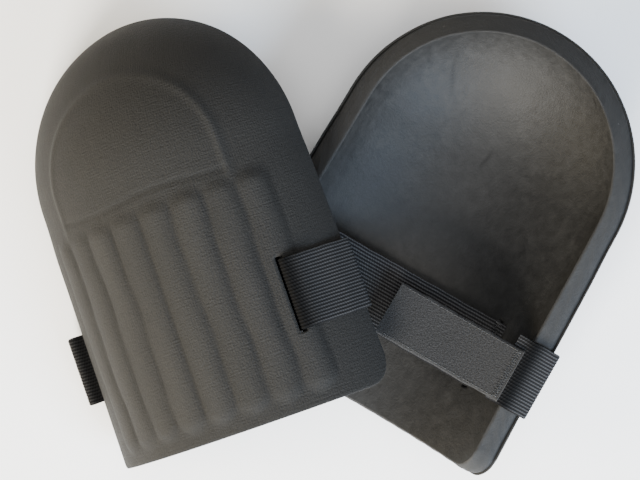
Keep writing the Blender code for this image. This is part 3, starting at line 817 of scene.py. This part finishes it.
# ---------------------------------------------------------------- the two pads
def build_pad(pad, loop_side, tucked, seed):
    """One pad: shell, webbing, tapes and stitching, each on its body."""
    slots = (loop_side * LOOP_SLOT_ANGLE, -loop_side * TAIL_SLOT_ANGLE)
    facing = shell_mesh(pad, f"{pad}_facing_soft", slots, 0.0, -FACING, "facing_knit", seed, 4,
                        0.0005)
    foam = shell_mesh(pad, f"{pad}_foam_soft", slots, -FACING - FACING_GAP, -WALL,
                      "foam_charcoal", seed, 12, 0.0030)
    for piece, node in ((facing, "facing"), (foam, "foam")):
        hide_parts(f"{pad}_{node}")
        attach(piece, pad)

    tail_side = -loop_side
    off = WEB_CLEAR + WEB_THICK / 2
    loop_over = wrap(loop_side, LOOP_TUCK if tucked else off)
    tail_over = wrap(tail_side, TAIL_TUCK if tucked else off)
    if tucked:
        loop_run = along_wall(loop_side, EDGE_ANGLE - LOOP_LENGTH / (RADIUS - WALL), LOOP_TUCK, 8)
        tail_run = along_wall(tail_side, -math.asin(TAIL_TIP_X / (RADIUS - WALL)), TAIL_TUCK, 13)
    else:
        loop_run = across_hollow(loop_over[-1], loop_over[-1].x - loop_side * LOOP_LENGTH, LOOP_SAG)
        tail_run = across_hollow(tail_over[-1], -tail_side * TAIL_TIP_X, TAIL_SAG)

    loop_web = loop_outer_run(loop_side) + loop_over + loop_run[:1]
    tail_web = tail_outer_run(tail_side, SLACK if tucked else 0.0) + tail_over + tail_run
    loop_web = resample(rounded(loop_web, BEND), LOOP_STEP)
    tail_web = resample(rounded(tail_web, BEND), TAIL_STEP)

    def world(point):
        return tuple(PLACE[pad] @ Vector((point[0], STRAP_Y, point[1])))

    def web_pieces(key, path, hinge, body, creases):
        """The webbing in three pieces: fixed, around the hinge, and moving."""
        at = int(np.argmin(np.hypot(*(path - np.array(hinge)).T)))
        spans = {"fixed": (0, at - HINGE_REACH + 1), "bend": (at - HINGE_REACH, at + HINGE_REACH + 1),
                 "end": (at + HINGE_REACH, None)}
        made = {part: band(pad, f"{pad}_{key}_webbing_{part}", path, WEB_THICK, WEB_WIDTH,
                           "elastic_webbing", WEB_RIBS, WEB_RIB_DEPTH, ripple=0.0001, seed=seed, span=span,
                           creases=creases) for part, span in spans.items()}
        way = path[min(at + 3, len(path) - 1)] - path[at - 3]
        way = way / np.linalg.norm(way) * HINGE_HALF
        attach(made["fixed"], pad)
        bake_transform(made["bend"])
        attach(made["end"], body)
        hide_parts(f"{pad}_webbing")
        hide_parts(f"{pad}_{key}_webbing")

    def fold(path, point, shift_and_width):
        """Painted shade at a fold near a point of the path: its distance along the path and its width."""
        gaps = np.linalg.norm(np.diff(path, axis=0), axis=1)
        at = int(np.argmin(np.hypot(*(path - np.array(point)).T)))
        return float(gaps[:at].sum()) + shift_and_width[0], shift_and_width[1]

    loop_slot = polar(loop_side * LOOP_SLOT_ANGLE, RADIUS)
    tail_slot = polar(tail_side * TAIL_SLOT_ANGLE, RADIUS)
    inner_loop, inner_tail = loop_over[-1], tail_over[-1]
    web_pieces("loop", loop_web, loop_over[0], f"{pad}_loop_end",
               (fold(loop_web, loop_slot, LOOP_SLOT_FOLD), fold(loop_web, inner_loop, LOOP_RIM_FOLD)))
    if tucked:
        tail_hinge = tail_over[0]
    else:
        near = [p for p in tail_run if (p.x - tail_side * TAIL_FOLD_X) * tail_side > 0][-1]
        after = tail_run[tail_run.index(near) + 1]
        tail_hinge = near.lerp(after, (tail_side * TAIL_FOLD_X - near.x) / (after.x - near.x))
    web_pieces("tail", tail_web, tail_hinge, f"{pad}_tail",
               (fold(tail_web, tail_slot, TAIL_SLOT_FOLD), fold(tail_web, inner_tail, TAIL_RIM_FOLD)))

    lead = [loop_over[-1].lerp(loop_run[0], 0.3)] + loop_run
    tape_path = beside(resample(lead, TAPE_STEP), -(WEB_THICK + LOOP_THICK) / 2 - PLY_GAP)
    tape_y = STRAP_Y + LOOP_OFFSET
    tape = band(pad, f"{pad}_loop_tape_soft", tape_path, LOOP_THICK, LOOP_WIDTH, "loop_tape",
                y_at=tape_y, ripple=0.00018, seed=seed + 1, round_edge=0.2)
    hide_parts(f"{pad}_loop_tape")
    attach(tape, f"{pad}_loop_end")

    tail_free = tail_web[-int(HOOK_LENGTH / TAIL_STEP):-2]
    hook = band(pad, f"{pad}_hook_tape_soft", beside(tail_free, (WEB_THICK + HOOK_THICK) / 2 + PLY_GAP),
                HOOK_THICK, HOOK_WIDTH, "hook_tape", seed=seed)
    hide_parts(f"{pad}_hook_tape")
    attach(hook, f"{pad}_tail")

    top = -WEB_THICK / 2 - 0.00025
    rows = [zigzag(tail_web, -0.0062, TACK_LENGTH, WEB_WIDTH - 0.0016, 30, top)]
    tack = stitches(pad, f"{pad}_tail_tack_thread", rows, TACK_THREAD)
    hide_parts(f"{pad}_tail_tack")
    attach(tack, f"{pad}_tail")

    top = -LOOP_THICK / 2 - 0.0001
    rows = [zigzag(tape_path, 0.0012, 0.003, LOOP_WIDTH - 0.004, 20, top, tape_y)]
    seam = stitches(pad, f"{pad}_loop_seam_thread", rows, SEAM_THREAD)
    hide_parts(f"{pad}_loop_seam")
    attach(seam, f"{pad}_loop_end")
    length = float(np.linalg.norm(np.diff(tape_path, axis=0), axis=1).sum())
    edges = []
    for y in (tape_y - LOOP_WIDTH / 2 + 0.0016, tape_y + LOOP_WIDTH / 2 - 0.0016):
        edges += seam_line(tape_path, 0.003, length - 0.002, y, top)
    sides = stitches(pad, f"{pad}_loop_edge_thread", edges, EDGE_THREAD)
    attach(sides, f"{pad}_loop_end")


build_pad("pad_a", 1, True, 0.4)
build_pad("pad_b", -1, False, 2.1)


# ---------------------------------------------------------------- floor, light, camera
def plane(name, size, z):
    """The plain pale floor."""
    data = bpy.data.meshes.new(name)
    data.from_pydata([(-size, -size, z), (size, -size, z), (size, size, z), (-size, size, z)], [],
                     [(0, 1, 2, 3)])
    made = bpy.data.objects.new(name, data)
    bpy.context.scene.collection.objects.link(made)
    look = Nodes("floor_white")
    look.shader.inputs["Base Color"].default_value = (0.93, 0.93, 0.93, 1.0)
    look.shader.inputs["Roughness"].default_value = 0.7
    data.materials.append(look.mat)


def area_light(name, at, target, size, power, colour):
    """A square soft light aimed at a target."""
    light = bpy.data.lights.new(name, "AREA")
    light.shape, light.size, light.energy, light.color = "SQUARE", size, power, colour
    made = bpy.data.objects.new(name, light)
    made.location = at
    made.rotation_euler = (Vector(target) - Vector(at)).to_track_quat("-Z", "Y").to_euler()
    bpy.context.scene.collection.objects.link(made)


plane("floor", FLOOR_SIZE, FLOOR_Z)
area_light("key_front", (-0.50, -1.2, 0.88), (0.0, 0.0, 0.03), 0.7, 88.0, (1.0, 0.95, 0.86))
area_light("warm_left", (-1.35, -0.2, 0.50), (-0.05, 0.0, 0.04), 0.5, 26.0, (1.0, 0.82, 0.50))
area_light("cool_right", (0.85, -0.9, 0.80), (0.05, 0.0, 0.04), 0.7, 52.0, (0.62, 0.78, 1.0))
area_light("top_soft", (0.0, 0.1, 1.7), (0.0, 0.0, 0.0), 1.2, 20.0, (1.0, 1.0, 1.0))
world = bpy.data.worlds.new("studio")
world.use_nodes = True
world.node_tree.nodes["Background"].inputs[0].default_value = (1.0, 1.0, 1.0, 1.0)
world.node_tree.nodes["Background"].inputs[1].default_value = 0.42
bpy.context.scene.world = world

camera = bpy.data.cameras.new("camera")
camera.lens, camera.sensor_width = CAMERA_LENS, 36.0
camera.clip_start, camera.clip_end = 0.05, 20.0
eye = bpy.data.objects.new("camera", camera)
eye.location = (SHIFT.x, SHIFT.y, CAMERA_HEIGHT)
bpy.context.scene.collection.objects.link(eye)
bpy.context.scene.camera = eye
